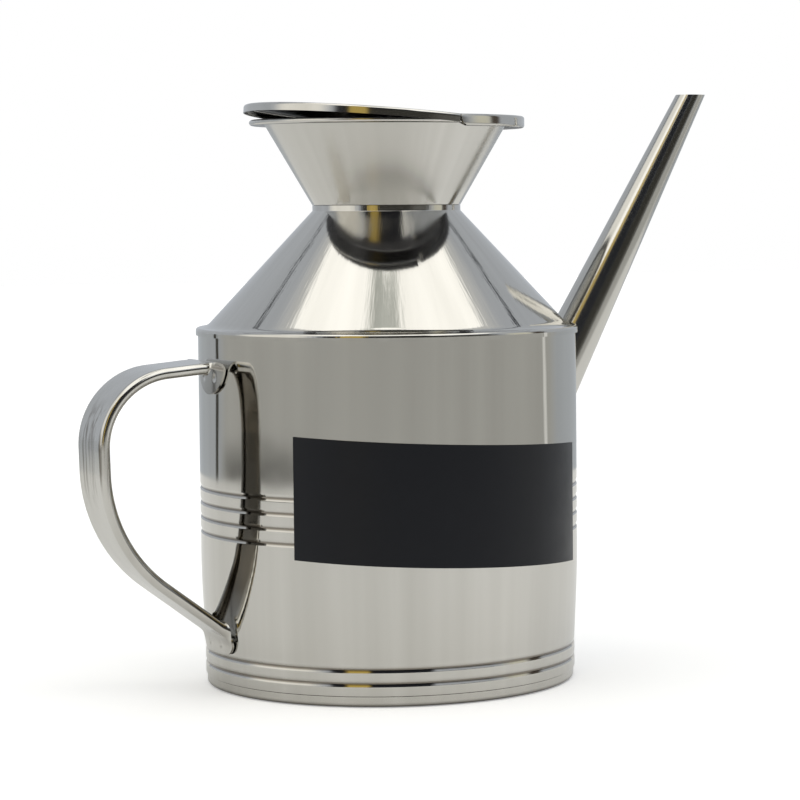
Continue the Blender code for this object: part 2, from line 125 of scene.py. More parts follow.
def turned(ring, steps=240):
    """A closed (r, z) ring spun about Z: point (i, j) is ring point i at angle j."""
    angle = np.linspace(0.0, math.tau, steps, endpoint=False)
    r, z = ring[:, :1], ring[:, 1:]
    return np.stack(np.broadcast_arrays(r * np.cos(angle), r * np.sin(angle), z), -1)


def skin(name, grids, look, body, replaced):
    """One piece from grids of points. Each (points, rows_close, columns_close) becomes quads between
    neighbours, and its signed volume tells which way they face. A side that doesn't close gets a flat
    cap at each end, and doubles at poles are merged."""
    points, faces, first = [], [], 0
    for grid, rows_close, columns_close in grids:
        number = first + np.arange(grid.shape[0] * grid.shape[1]).reshape(grid.shape[:2])
        caps = []
        if not columns_close:
            caps += [number[:, 0], number[::-1, -1]]
        if not rows_close:
            caps += [number[0, ::-1], number[-1]]
        if rows_close:
            number = np.vstack([number, number[:1]])
        if columns_close:
            number = np.hstack([number, number[:, :1]])
        quads = np.stack([number[:-1, :-1], number[:-1, 1:], number[1:, 1:], number[1:, :-1]], -1)
        quads = quads.reshape(-1, 4)
        flat = grid.reshape(-1, 3)
        a, b, c, d = (flat[quads[:, k] - first] for k in range(4))
        volume = np.sum(np.cross(a, b) * c) + np.sum(np.cross(a, c) * d)
        way = 1 if volume > 0 else -1
        points.append(flat)
        faces += quads[:, ::way].tolist() + [cap[::way].tolist() for cap in caps]
        first += len(flat)
    mesh = bpy.data.meshes.new(name)
    mesh.from_pydata(np.concatenate(points), [], faces)
    joined = bmesh.new()
    joined.from_mesh(mesh)
    bmesh.ops.remove_doubles(joined, verts=joined.verts, dist=0.0001 * MM)
    joined.to_mesh(mesh)
    joined.free()
    mesh.shade_smooth()
    mesh.set_sharp_from_angle(angle=math.radians(38))
    mesh.materials.append(look)
    piece = bpy.data.objects.new(name, mesh)
    bpy.context.scene.collection.objects.link(piece)
    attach(piece, body)
    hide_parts(replaced)
    return piece


def linear(hex_colour):
    """sRGB hex to linear light: c / 12.92 below 0.04045, else ((c + 0.055) / 1.055) ** 2.4."""
    channels = np.array([int(hex_colour[i : i + 2], 16) / 255 for i in (1, 3, 5)])
    bent = np.where(channels <= 0.04045, channels / 12.92, ((channels + 0.055) / 1.055) ** 2.4)
    return (*bent, 1.0)


def add(tree, kind, settings=None, **inputs):
    """Adds one node: settings are its own options, inputs are values or other nodes' outputs."""
    node = tree.nodes.new(kind)
    for option, value in (settings or {}).items():
        setattr(node, option, value)
    for name, value in inputs.items():
        socket = node.inputs[int(name[1:])] if name[1:].isdigit() else node.inputs[name.replace("_", " ")]
        if isinstance(value, bpy.types.NodeSocket):
            tree.links.new(value, socket)
        else:
            socket.default_value = value
    return node


def polished_steel(name, roughness, haze, waviness, streaks, along=None, stretch=0.03):
    """Cold-rolled 304 stainless, polished. Mirror-like and slightly warm, with a hazy patch here and
    there from handling, sheet that is never quite flat, and fine polishing streaks. The streaks run
    up the can's round pieces, whose place round the axis is (x, y) / length, and are the shorter the
    larger stretch is. Or they run along a piece's own direction, given as its lean from upright. The
    real ones are finer than a pixel, so they are drawn 0.7 mm apart, in bands of 5 mm."""
    look = bpy.data.materials.new(name)
    look.use_nodes = True
    tree = look.node_tree
    shader = tree.nodes["Principled BSDF"]
    shader.inputs["Metallic"].default_value = 1.0
    place = add(tree, "ShaderNodeTexCoord").outputs["Object"]
    cloud = add(tree, "ShaderNodeTexNoise", Vector=place, Scale=1 / (22 * MM), Detail=3.0, Roughness=0.6)
    limits = {"i1": 0.35, "i2": 0.75, "i3": roughness, "i4": roughness + haze}
    dull = add(tree, "ShaderNodeMapRange", Value=cloud.outputs["Fac"], **limits)
    tree.links.new(dull.outputs["Result"], shader.inputs["Roughness"])
    if along is None:
        times, girth = {"operation": "MULTIPLY"}, (35 * MM, 35 * MM, 35 * MM)
        level = add(tree, "ShaderNodeVectorMath", times, i0=place, i1=(1.0, 1.0, 0.0))
        spoke = add(tree, "ShaderNodeVectorMath", {"operation": "NORMALIZE"}, i0=level.outputs[0])
        round_way = add(tree, "ShaderNodeVectorMath", times, i0=spoke.outputs[0], i1=girth)
        upright = add(tree, "ShaderNodeVectorMath", times, i0=place, i1=(0.0, 0.0, stretch))
        ways = {"i0": round_way.outputs[0], "i1": upright.outputs[0]}
        long_way = add(tree, "ShaderNodeVectorMath", {"operation": "ADD"}, **ways)
    else:
        lean = {"Rotation": (0.0, along, 0.0), "Scale": (1, 1, 30)}
        long_way = add(tree, "ShaderNodeMapping", {"vector_type": "TEXTURE"}, Vector=place, **lean)
    streak = add(tree, "ShaderNodeTexNoise", Vector=long_way.outputs[0], Scale=1 / (0.7 * MM), Detail=2.0)
    band = add(tree, "ShaderNodeTexNoise", Vector=long_way.outputs[0], Scale=1 / (5 * MM), Detail=3.0)
    tones = {"i6": linear("#D6D4CF"), "i7": linear("#BDBBB5")}
    tone = add(tree, "ShaderNodeMix", {"data_type": "RGBA"}, i0=band.outputs["Fac"], **tones)
    tree.links.new(tone.outputs[2], shader.inputs["Base Color"])
    swell = add(tree, "ShaderNodeTexNoise", Vector=place, Scale=1 / (16 * MM), Detail=1.0)
    wave = add(tree, "ShaderNodeBump", Height=swell.outputs["Fac"], Strength=1.0, Distance=waviness)
    bump = add(tree, "ShaderNodeBump", Height=streak.outputs["Fac"], Strength=1.0, Distance=streaks)
    tree.links.new(wave.outputs["Normal"], bump.inputs["Normal"])
    tree.links.new(bump.outputs["Normal"], shader.inputs["Normal"])
    return look


def stain_and_shade(look, share, hex_colour):
    """Colour laid over the steel, for stains and for painted shade, from none where share is 0 to all of it
    where it is 1.
    """
    tree = look.node_tree
    colour = tree.nodes["Principled BSDF"].inputs["Base Color"]
    layers = {"i6": colour.links[0].from_socket, "i7": linear(hex_colour)}
    mix = add(tree, "ShaderNodeMix", {"data_type": "RGBA"}, i0=share, **layers)
    tree.links.new(mix.outputs[2], colour)


def wall_radius(height):
    """The wall is straight, draws in a little over its foot and is straight again below."""
    share = (foot_height - height) / (foot_height - foot_neck)
    return body_radius - foot_draw * min(1.0, max(0.0, share))


def groove(height):
    """Corners of one rolled groove: softly in, a round bottom, softly out."""
    half = groove_width / 2
    top, foot = height + half, height - half
    bottom = wall_radius(height) - groove_depth
    lips = [(wall_radius(edge), edge, groove_lip) for edge in (top, foot)]
    return [lips[0], (bottom, height, groove_round), lips[1]]


def darken_grooves(look):
    """The grooves are painted a darker brown: the mask is how far the wall lies inside
    its plain radius, and it ends before the inner face of the sheet."""
    tree = look.node_tree
    place = add(tree, "ShaderNodeTexCoord").outputs["Object"]
    level = add(tree, "ShaderNodeVectorMath", {"operation": "MULTIPLY"}, i0=place, i1=(1.0, 1.0, 0.0))
    radius = add(tree, "ShaderNodeVectorMath", {"operation": "LENGTH"}, i0=level.outputs[0])
    height = add(tree, "ShaderNodeSeparateXYZ", Vector=place).outputs["Z"]
    wall = {"i1": foot_neck, "i2": foot_height, "i3": body_radius - foot_draw, "i4": body_radius}
    plain = add(tree, "ShaderNodeMapRange", Value=height, **wall).outputs["Result"]
    depth = add(tree, "ShaderNodeMath", {"operation": "SUBTRACT"}, i0=plain, i1=radius.outputs["Value"])
    depth = depth.outputs[0]
    groove_darkening = add(tree, "ShaderNodeMapRange", Value=depth, i1=0.09 * MM, i2=0.22 * MM, i3=0.0, i4=0.8)
    face = add(tree, "ShaderNodeMapRange", Value=depth, i1=0.30 * MM, i2=0.36 * MM, i3=1.0, i4=0.0)
    masks = {"i0": groove_darkening.outputs["Result"], "i1": face.outputs["Result"]}
    stain_and_shade(look, add(tree, "ShaderNodeMath", {"operation": "MULTIPLY"}, **masks).outputs[0], "#6A6156")


# A near mirror: it shows the room in upright bands, gently bent where the sheet swells.
body_steel = polished_steel("polished_rolled_stainless", 0.045, 0.035, 0.050 * MM, 0.0030 * MM)
# The grooves are painted darker and browner than the plain wall.
darken_grooves(body_steel)
wall_foot_radius = rim_radius - wall_sheet - seam
wall_step = rim_height + seam
wall_corners = [(body_radius, body_height - wall_sheet - seam)]
for height in middle_grooves:
    wall_corners += groove(height)
wall_corners += [(body_radius, foot_height, foot_sweep), (wall_radius(foot_neck), foot_neck, foot_turn)]
for height in foot_grooves:
    wall_corners += groove(height)
wall_corners += [
    (wall_radius(wall_step), wall_step + 2 * seam, 0.15 * MM),
    (wall_foot_radius, wall_step, 0.1 * MM),
    (wall_foot_radius, wall_sheet + seam),
]
wall_grids = [(turned(sheet_ring(wall_corners, wall_sheet)), True, True)]
skin("rolled_body", wall_grids, body_steel, "can", "body_wall")


# Base: a stamped stainless disc with a satin back. Its rim is folded up round the wall's lower edge
# and its panel is pressed up a little, so that the can stands on the ring at its edge.
panel_recess = 0.9 * MM
rim_fold = 0.6 * MM
panel_fold = 0.3 * MM
pan_radius = wall_foot_radius - 2 * wall_sheet - seam
base_corners = [
    (rim_radius, rim_height),
    (rim_radius, 0.0, rim_fold),
    (pan_radius, 0.0, panel_fold),
    (pan_radius, panel_recess, panel_fold),
    (0.0, panel_recess),
]


def shade_standing_edge(look):
    """The fold that the can stands on is painted darker towards the bottom, as painted shade where it meets
    the table.
    """
    tree = look.node_tree
    spot = add(tree, "ShaderNodeSeparateXYZ", Vector=add(tree, "ShaderNodeTexCoord").outputs["Object"])
    edge = {"i1": 0.2 * MM, "i2": 0.9 * MM, "i3": 0.85, "i4": 0.0}
    edge_shade = add(tree, "ShaderNodeMapRange", Value=spot.outputs["Z"], **edge)
    # Painted contact shade: darkest at the very bottom of the fold, gone by 0.9 mm up.
    stain_and_shade(look, edge_shade.outputs["Result"], "#5E5A53")


# Satin from the stamping die: it shows the table as a soft grey, with no image in it.
base_steel = polished_steel("stamped_stainless", 0.14, 0.06, 0.006 * MM, 0.0006 * MM)
shade_standing_edge(base_steel)
base_grids = [(turned(sheet_ring(base_corners, wall_sheet)), True, True)]
skin("folded_base", base_grids, base_steel, "can", "base_disc")


# Shoulder: a pressed cone of the same sheet. Its outer edge is rolled over the top of the wall as the
# seam bead, and its top is turned up into a short collar that holds the funnel.
neck_radius = 17.6 * MM
neck_bottom = body_height + 27.4 * MM
collar_top = neck_bottom + 1.3 * MM
cone_foot_radius = body_radius - 1.85 * MM
cone_foot_flare = 3.8 * MM
shoulder_corners = [
    (neck_radius, collar_top),
    (neck_radius, neck_bottom, 0.3 * MM),
    (cone_foot_radius, body_height, cone_foot_flare),
    (bead_radius, body_height, rim_fold),
    (bead_radius, bead_bottom),
]
# A mirror with coarser, shorter streaks down the cone, where the mop could only follow its slope.
cone_steel = polished_steel("pressed_cone_stainless", 0.05, 0.04, 0.030 * MM, 0.0180 * MM, stretch=0.12)
cone_grids = [(turned(sheet_ring(shoulder_corners, wall_sheet)), True, True)]
skin("pressed_shoulder", cone_grids, cone_steel, "can", "shoulder_cone")


# Filling funnel: a spun cone with a spigot that sits in the collar. The sheet at its mouth is turned
# out, rolled round and brought back in on top, which makes the stiff flange under the lid. The
# flange droops a little, so that its mirror image in the shoulder is a dark crescent.
seat_gap = 0.30 * MM
funnel_bottom = collar_top + seam
flange_bottom = collar_top + seat_gap + 18.4 * MM
flange_top = flange_bottom + 1.5 * MM
funnel_mouth_radius = 28.8 * MM
flange_radius = funnel_mouth_radius + 3.5 * MM
flange_inner_radius = flange_radius - 3.4 * MM
spigot_radius = neck_radius - wall_sheet - seam
flange_roll = 0.74 * MM
flange_droop = 0.60 * MM
spigot_depth = 3.5 * MM


def roughen(look, share, extra):
    """Makes the steel duller: its roughness grows by share * extra."""
    tree = look.node_tree
    roughness = tree.nodes["Principled BSDF"].inputs["Roughness"]
    parts = {"i0": share, "i1": extra, "i2": roughness.links[0].from_socket}
    duller = add(tree, "ShaderNodeMath", {"operation": "MULTIPLY_ADD"}, **parts)
    tree.links.new(duller.outputs[0], roughness)


def shade_and_dull_below(look, duller=0.0):
    """Faces that look straight down are painted grey, as painted shade under the flange and the lid,
    and they are duller by that much, as the polishing mop never reached them."""
    tree = look.node_tree
    facing = add(tree, "ShaderNodeSeparateXYZ", Vector=add(tree, "ShaderNodeTexCoord").outputs["Normal"])
    below = add(tree, "ShaderNodeMapRange", Value=facing.outputs["Z"], i1=-0.75, i2=-0.92)
    stain_and_shade(look, below.outputs["Result"], "#5A5B60")
    roughen(look, below.outputs["Result"], duller)


def satin_above(look, low, high, extra):
    """The wide part of the funnel is wiped satin by the cloth: its roughness rises over that height."""
    tree = look.node_tree
    spot = add(tree, "ShaderNodeSeparateXYZ", Vector=add(tree, "ShaderNodeTexCoord").outputs["Object"])
    smooth = {"interpolation_type": "SMOOTHSTEP"}
    wiped = add(tree, "ShaderNodeMapRange", smooth, Value=spot.outputs["Z"], i1=low, i2=high)
    roughen(look, wiped.outputs["Result"], extra)


funnel_corners = [
    (flange_inner_radius, flange_top),
    (flange_radius, flange_top, flange_roll),
    (flange_radius, flange_bottom, flange_roll),
    (funnel_mouth_radius, flange_bottom + flange_droop, 0.4 * MM),
    (neck_radius, funnel_bottom, 0.2 * MM),
    (spigot_radius, funnel_bottom, 0.2 * MM),
    (spigot_radius, funnel_bottom - spigot_depth),
]
# A mirror at its foot and satin above, where it shows the tent as one even grey.
funnel_steel = polished_steel("spun_funnel_stainless", 0.09, 0.04, 0.006 * MM, 0.0008 * MM)
# Faces that look down, under the flange, are painted grey as shade.
shade_and_dull_below(funnel_steel)
satin_above(funnel_steel, funnel_bottom + 1.0 * MM, funnel_bottom + 5.0 * MM, 0.11)
funnel_grids = [(turned(sheet_ring(funnel_corners, wall_sheet)), True, True)]
skin("spun_funnel", funnel_grids, funnel_steel, "can", "filling_funnel")


# Fixed half of the lid: the spout side, 0.4 mm sheet crimped round and under the flange. Along the
# split it carries the two outer knuckles and the middle one of the hinge, rolled from its own edge.
lid_sheet = 0.40 * MM
lid_top = flange_top + seat_gap + lid_sheet
fixed_radius = flange_radius + seat_gap + lid_sheet
crimp_bottom = flange_bottom - seat_gap - lid_sheet
lid_fold = 0.6 * MM
crimp_reach = 2.3 * MM
crimp_corner = 1.2 * MM
crimp_lift = 0.50 * MM
hinge_x = 3.4 * MM
hinge_z = lid_top - 0.45 * MM
pin_radius = 0.40 * MM
knuckle_bore = pin_radius + 0.10 * MM
knuckle_radius = knuckle_bore + lid_sheet
notch_radius = knuckle_radius + 0.25 * MM
notch_reach = math.sqrt(notch_radius**2 - (lid_top - hinge_z) ** 2)
barrel_half = math.sqrt(flange_inner_radius**2 - (hinge_x + knuckle_radius) ** 2) - 1.0 * MM
knuckle_pitch = 2 * barrel_half / 5


def half_disc(corners, side, split, edges, corner_radius=0.0, columns=240, rows=12):
    """Half of a lid as one grid. Its (r, z) rings sweep the angles at which they lie past the split
    line, r * cos(angle) = split, and the flat runs straight to them from the split. edges are where
    the sheet ends over each of the five knuckles; side is 1 for +X and -1 for -X."""
    outer, inner = filleted(corners), filleted(inset(corners, lid_sheet))
    rim_reach = math.acos(side * split / outer[0, 0])
    borders = -barrel_half + np.arange(6) * knuckle_pitch
    borders = np.concatenate([borders - 0.005 * MM, borders + 0.005 * MM])
    share = np.concatenate([np.linspace(-1.0, 1.0, columns), np.arcsin(borders / outer[0, 0]) / rim_reach])
    share = np.sort(share)
    edge_y = outer[0, 0] * np.sin(rim_reach * share)
    span = np.floor((edge_y + barrel_half) / knuckle_pitch).astype(int)
    edge_x = np.where((span >= 0) & (span < 5), np.array(edges)[np.clip(span, 0, 4)], split)
    grid = []
    for surface in (outer, inner[::-1]):
        r, z = surface[:, :1], surface[:, 1:]
        drop = np.clip((corners[-1][1] + corner_radius - z) / max(corner_radius, 0.001 * MM), 0.0, 1.0)
        line = split + side * corner_radius * (1 - np.sqrt(1 - drop**2))
        angle = share * np.arccos(np.clip(side * line / r, -1.0, 1.0))
        ring = np.stack(np.broadcast_arrays(side * r * np.cos(angle), r * np.sin(angle), z), -1)
        rim = ring[0] if surface is outer else ring[-1]
        start = np.stack([edge_x, rim[:, 1], rim[:, 2]], -1)
        panel = start + (rim - start) * np.linspace(0.0, 1.0, rows + 1)[:-1, None, None]
        grid += [panel, ring] if surface is outer else [ring, panel[::-1]]
    return np.concatenate(grid)


def knuckle(n):
    """The rolled tube over knuckle n: its (distance along Y, radius) ring turned about the hinge."""
    start = -barrel_half + n * knuckle_pitch + seat_gap / 2
    stop = start + knuckle_pitch - seat_gap
    ease = 0.08 * MM
    ring = [(start, knuckle_bore), (start, knuckle_radius - ease), (start + ease, knuckle_radius)]
    ring += [(stop - ease, knuckle_radius), (stop, knuckle_radius - ease), (stop, knuckle_bore)]
    ring = np.array(ring)
    angle = np.linspace(0.0, math.tau, 32, endpoint=False)
    y, r = ring[:, :1], ring[:, 1:]
    return np.stack(np.broadcast_arrays(hinge_x + r * np.cos(angle), y, hinge_z + r * np.sin(angle)), -1)


# Bright on top, with its streaks straight across the lid as it was polished, and dull underneath, where it
# is also painted grey as shade.
lid_steel = polished_steel("lid_stainless", 0.09, 0.05, 0.010 * MM, 0.0010 * MM, math.pi / 2)
shade_and_dull_below(lid_steel, 0.28)
fixed_corners = [
    (fixed_radius - lid_fold - 0.2 * MM, lid_top),
    (fixed_radius, lid_top, lid_fold),
    (fixed_radius, crimp_bottom, lid_fold),
    (fixed_radius - crimp_reach, crimp_bottom + crimp_lift),
]
fixed_split, fixed_notch = hinge_x + 0.6 * MM, hinge_x + notch_reach
fixed_edges = [fixed_split, fixed_notch, fixed_split, fixed_notch, fixed_split]
fixed_grids = [(half_disc(fixed_corners, 1, fixed_split, fixed_edges, crimp_corner), True, False)]
fixed_grids += [(knuckle(n), True, True) for n in (0, 2, 4)]
skin("crimped_lid_half", fixed_grids, lid_steel, "can", "fixed_half_lid")


# Hinged flap: the handle side of the lid, loose over the flange with a short turned-down skirt. It is
# built shut and stands 4.8 degrees ajar about the hinge. It carries the other two knuckles.
flap_radius = flange_radius + 0.9 * MM + lid_sheet
ajar = math.radians(4.8)
flap_corners = [
    (flap_radius - lid_fold - 0.2 * MM, lid_top),
    (flap_radius, lid_top, lid_fold),
    (flap_radius, lid_top - 1.9 * MM),
]
flap_split, flap_notch, flap_rolled = hinge_x - 0.1 * MM, hinge_x - notch_reach, hinge_x - 0.6 * MM
flap_edges = [flap_notch, flap_rolled, flap_notch, flap_rolled, flap_notch]


def swung(grid):
    """A grid turned about the hinge line so that the -X side rises by the ajar angle."""
    x, z = grid[..., 0] - hinge_x, grid[..., 2] - hinge_z
    turned_x = hinge_x + x * math.cos(ajar) + z * math.sin(ajar)
    turned_z = hinge_z - x * math.sin(ajar) + z * math.cos(ajar)
    return np.stack([turned_x, grid[..., 1], turned_z], -1)


flap_grids = [(swung(half_disc(flap_corners, -1, flap_split, flap_edges)), True, False)]
flap_grids += [(swung(knuckle(n)), True, True) for n in (1, 3)]
skin("hinged_flap", flap_grids, lid_steel, "lid_flap", "hinged_half_lid")


# Hinge pin: a straight wire through the five knuckles. The CAD solid has its true shape and stays.
# Die-drawn and never polished, it is duller than the sheet, with a soft grey glint along it.
wire_steel = polished_steel("drawn_wire_stainless", 0.22, 0.08, 0.0, 0.0006 * MM, 0.0)
pin_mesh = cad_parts["hinge_pin"].data
pin_mesh.materials.clear()
pin_mesh.materials.append(wire_steel)


# Spout: a cone rolled from 0.5 mm sheet, cut level at its tip, its root cut to the wall, the bead and
# the edge of the shoulder and welded there with a thin, slightly uneven bead.
spout_sheet = 0.50 * MM
spout_root = np.array([body_radius, 0.0, body_height - 14.3 * MM])
spout_tip = np.array([body_radius + 39.8 * MM, 0.0, 140.3 * MM])
spout_root_radius = 6.65 * MM
spout_tip_radius = 3.299 * MM  # a hair inside the CAD solid's 3.3 mm
spout_length = np.linalg.norm(spout_tip - spout_root)
spout_axis = unit(spout_tip - spout_root)
spout_up = np.array([-spout_axis[2], 0.0, spout_axis[0]])
spout_side = np.array([0.0, 1.0, 0.0])
spout_taper = (spout_root_radius - spout_tip_radius) / spout_length
spout_round = np.linspace(0.0, math.tau, 144, endpoint=False)
spout_spokes = np.cos(spout_round)[:, None] * spout_up + np.sin(spout_round)[:, None] * spout_side
spout_weld = 0.40 * MM
root_search = np.linspace(-15 * MM, 30 * MM, 1800)
seat_heights = [bead_bottom - 0.1 * MM, bead_bottom, body_height, body_height + 0.1 * MM, neck_bottom]
seat_radii = [body_radius, bead_radius, bead_radius, cone_foot_radius, neck_radius]


def on_spout(distance, thinner):
    """Points at those distances along each straight line of the spout, thinner by that much."""
    radius = spout_root_radius - thinner - spout_taper * distance
    return spout_root + distance[..., None] * spout_axis + radius[..., None] * spout_spokes


def root_cut(thinner):
    """How far along each line the spout leaves the body: where its distance from the can's axis last
    passes the body's own radius at that height. A short running mean rounds the steps at the bead."""
    distance = np.repeat(root_search[:, None], len(spout_round), axis=1)
    points = on_spout(distance, thinner)
    outside = np.hypot(points[..., 0], points[..., 1]) - np.interp(points[..., 2], seat_heights, seat_radii)
    last = len(root_search) - 1 - np.argmax(outside[::-1] < 0, axis=0)
    cut = root_search[last]
    return sum(np.roll(cut, shift) for shift in (2, 1, 0, -1, -2)) / 5


def spout_face(thinner, rows=72):
    """Each line runs from the root cut to the level tip, where its height reaches that of the tip."""
    lean = np.cos(spout_round) * spout_up[2]
    rise = spout_tip[2] - spout_root[2] - (spout_root_radius - thinner) * lean
    tip_cut = rise / (spout_axis[2] - spout_taper * lean)
    share = np.linspace(0.0, 1.0, rows)[:, None]
    return on_spout(root_cut(thinner) * (1 - share) + tip_cut * share, thinner)


spout_outer, spout_inner = spout_face(0.0), spout_face(spout_sheet)
root_line = spout_outer[0]
root_way = np.roll(root_line, -1, 0) - np.roll(root_line, 1, 0)
root_way = root_way / np.linalg.norm(root_way, axis=1)[:, None]
root_side = np.cross(root_way, spout_spokes)
weld_round = np.linspace(0.0, math.tau, 20, endpoint=False)[:, None, None]
ripple = spout_weld * (1 + 0.10 * np.sin(23 * spout_round) + 0.08 * np.sin(41 * spout_round + 1.0))[:, None]
weld_grid = root_line + ripple * (np.cos(weld_round) * spout_spokes + np.sin(weld_round) * root_side)
# Polished by hand after rolling: soft long bands that run up the spout.
spout_lean = math.atan2(spout_axis[0], spout_axis[2])
spout_steel = polished_steel("rolled_spout_stainless", 0.12, 0.05, 0.010 * MM, 0.0020 * MM, spout_lean)
spout_grids = [(np.concatenate([spout_outer, spout_inner[::-1]]), True, True), (weld_grid, True, True)]
skin("welded_spout", spout_grids, spout_steel, "can", "spout_tube")


# Handle: one stainless strap, 0.5 mm thick, whose edges are curled under along the arm, the grip and
# the leg. Its ends are flat tabs bent down along the wall, each held by two dimpled spot welds.
strap_sheet = 0.50 * MM
strap_half = 8.1 * MM
foot_tab_half = 8.6 * MM
foot_tab_corner = 3.0 * MM
curl_middle = 1.3 * MM - strap_sheet / 2
curl_lip = 1.1 * MM
flat_edge = 0.9 * MM
top_curl_run = 2.6 * MM
foot_curl_run = 6.0 * MM
arm_height = body_height - 6.7 * MM
top_tab_bottom = arm_height - 8.1 * MM
grip_x = body_radius + 30.47 * MM
foot_tab_height = 13.4 * MM
foot_tab_bottom = foot_tab_height - 4.0 * MM
weld_spacing = 3.2 * MM
dimple_width = 0.75 * MM
dimple_depth = 0.16 * MM
dimple_heights = [top_tab_bottom + 4.0 * MM, foot_tab_bottom + 2.2 * MM]
loop_middle = (-(body_radius + grip_x) / 2, 0.0, 47 * MM)


def eased(share):
    """0 to 1 with soft ends: 3 s^2 - 2 s^3."""
    share = np.clip(share, 0.0, 1.0)
    return share * share * (3 - 2 * share)


def strap_section(curl, half, flat_points=24, arc_points=14, lip_points=3):
    """For each row of the strap, the sheet's middle line from its centre to its +Y edge as y, depth
    and slope: flat, then an arc through 180 degrees * curl, then a straight lip."""
    slope = math.pi * curl
    arc = (1 - curl) * flat_edge * 2 / 3 + curl * math.pi * curl_middle
    lip = (1 - curl) * flat_edge / 3 + curl * curl_lip
    bend = slope / arc
    reach = np.sin(np.minimum(slope, math.pi / 2)) * (1 / bend + strap_sheet / 2)
    flat = half - reach - lip * np.maximum(0.0, np.cos(slope))
    across = flat * np.linspace(0.0, 1.0, flat_points)
    a = slope * np.linspace(0.0, 1.0, arc_points + 1)[1:]
    arc_y, arc_depth = flat + np.sin(a) / bend, strap_sheet / 2 + (1 - np.cos(a)) / bend
    out = lip * np.linspace(0.0, 1.0, lip_points + 1)[1:]
    y = np.hstack([across, arc_y, arc_y[:, -1:] + out * np.cos(slope)])
    depth = np.hstack([0 * across + strap_sheet / 2, arc_depth, arc_depth[:, -1:] + out * np.sin(slope)])
    return y, depth, np.hstack([0 * across, a, 0 * out + slope])


def inside_shade_and_wear(look):
    """The strap's inner side, where it faces the can, is painted darker as shade: the mask is how squarely
    a face looks at the middle of the loop. Long brown streaks mark the outer side where the hand and the
    cloth have worn it."""
    tree = look.node_tree
    spot = add(tree, "ShaderNodeTexCoord")
    place = spot.outputs["Object"]
    inwards = add(tree, "ShaderNodeVectorMath", {"operation": "SUBTRACT"}, i0=loop_middle, i1=place)
    inwards = add(tree, "ShaderNodeVectorMath", {"operation": "NORMALIZE"}, i0=inwards.outputs[0])
    looks = {"i0": inwards.outputs[0], "i1": spot.outputs["Normal"]}
    facing = add(tree, "ShaderNodeVectorMath", {"operation": "DOT_PRODUCT"}, **looks).outputs["Value"]
    inside_shade = add(tree, "ShaderNodeMapRange", Value=facing, i1=0.35, i2=0.70, i3=0.0, i4=0.85)
    drawn = add(tree, "ShaderNodeMapping", {"vector_type": "TEXTURE"}, Vector=place, Scale=(1, 1, 30))
    mark = add(tree, "ShaderNodeTexNoise", Vector=drawn.outputs[0], Scale=1 / (1.6 * MM), Detail=3.0)
    mark = add(tree, "ShaderNodeMapRange", Value=mark.outputs["Fac"], i1=0.50, i2=0.64, i3=0.0, i4=0.75)
    share = mark.outputs["Result"]
    height = add(tree, "ShaderNodeSeparateXYZ", Vector=place).outputs["Z"]
    for clean, edge_shade in ((44 * MM, 54 * MM), (70 * MM, 64 * MM)):
        zone = add(tree, "ShaderNodeMapRange", Value=height, i1=clean, i2=edge_shade).outputs["Result"]
        share = add(tree, "ShaderNodeMath", {"operation": "MULTIPLY"}, i0=share, i1=zone).outputs[0]
    shade_and_wear = add(tree, "ShaderNodeMath", {"operation": "MAXIMUM"}, i0=inside_shade.outputs["Result"], i1=share)
    stain_and_shade(look, shade_and_wear.outputs[0], "#6A6255")


# The strap's route as (x, z, radius) corners: each corner's arc takes radius * tan(turn / 2) off both
# its sides and turns the heading evenly.
strap_corners = np.array([
    (-body_radius - seat_gap, top_tab_bottom, 0.0),
    (-body_radius - seat_gap, arm_height, 2.0 * MM),
    (-grip_x, arm_height - 2.6 * MM, 18.0 * MM),
    (-grip_x + 1.0 * MM, 35.6 * MM, 36.0 * MM),
    (-wall_radius(foot_tab_height) - seat_gap - strap_sheet, foot_tab_height, 4.0 * MM),
    (-wall_radius(foot_tab_bottom) - seat_gap - strap_sheet, foot_tab_bottom, 0.0),
])
legs = np.diff(strap_corners[:, :2], axis=0)
headings = np.unwrap(np.arctan2(legs[:, 1], legs[:, 0]))
turns = abs(np.diff(headings))
cuts = np.concatenate([[0.0], strap_corners[1:-1, 2] * np.tan(turns / 2), [0.0]])
runs = np.zeros(2 * len(legs) - 1)
runs[::2] = np.linalg.norm(legs, axis=1) - cuts[:-1] - cuts[1:]
runs[1::2] = strap_corners[1:-1, 2] * turns
run_ends = np.concatenate([[0.0], np.cumsum(runs)])
round_share = 1 - np.cos(np.linspace(0.0, math.pi / 2, 25))
top_marks = strap_half * round_share
foot_marks = run_ends[-1] - foot_tab_corner * round_share[::-2]
grip_marks = np.arange(top_marks[-1] + 0.35 * MM, foot_marks[0] - 0.2 * MM, 0.5 * MM)
marks = np.concatenate([top_marks, grip_marks, foot_marks])
heading = np.interp(marks, run_ends, np.repeat(headings, 2))
middle = (heading[1:] + heading[:-1]) / 2
steps = np.diff(marks)[:, None] * np.stack([np.cos(middle), np.sin(middle)], -1)
route = strap_corners[0, :2] + np.concatenate([np.zeros((1, 2)), np.cumsum(steps, axis=0)])

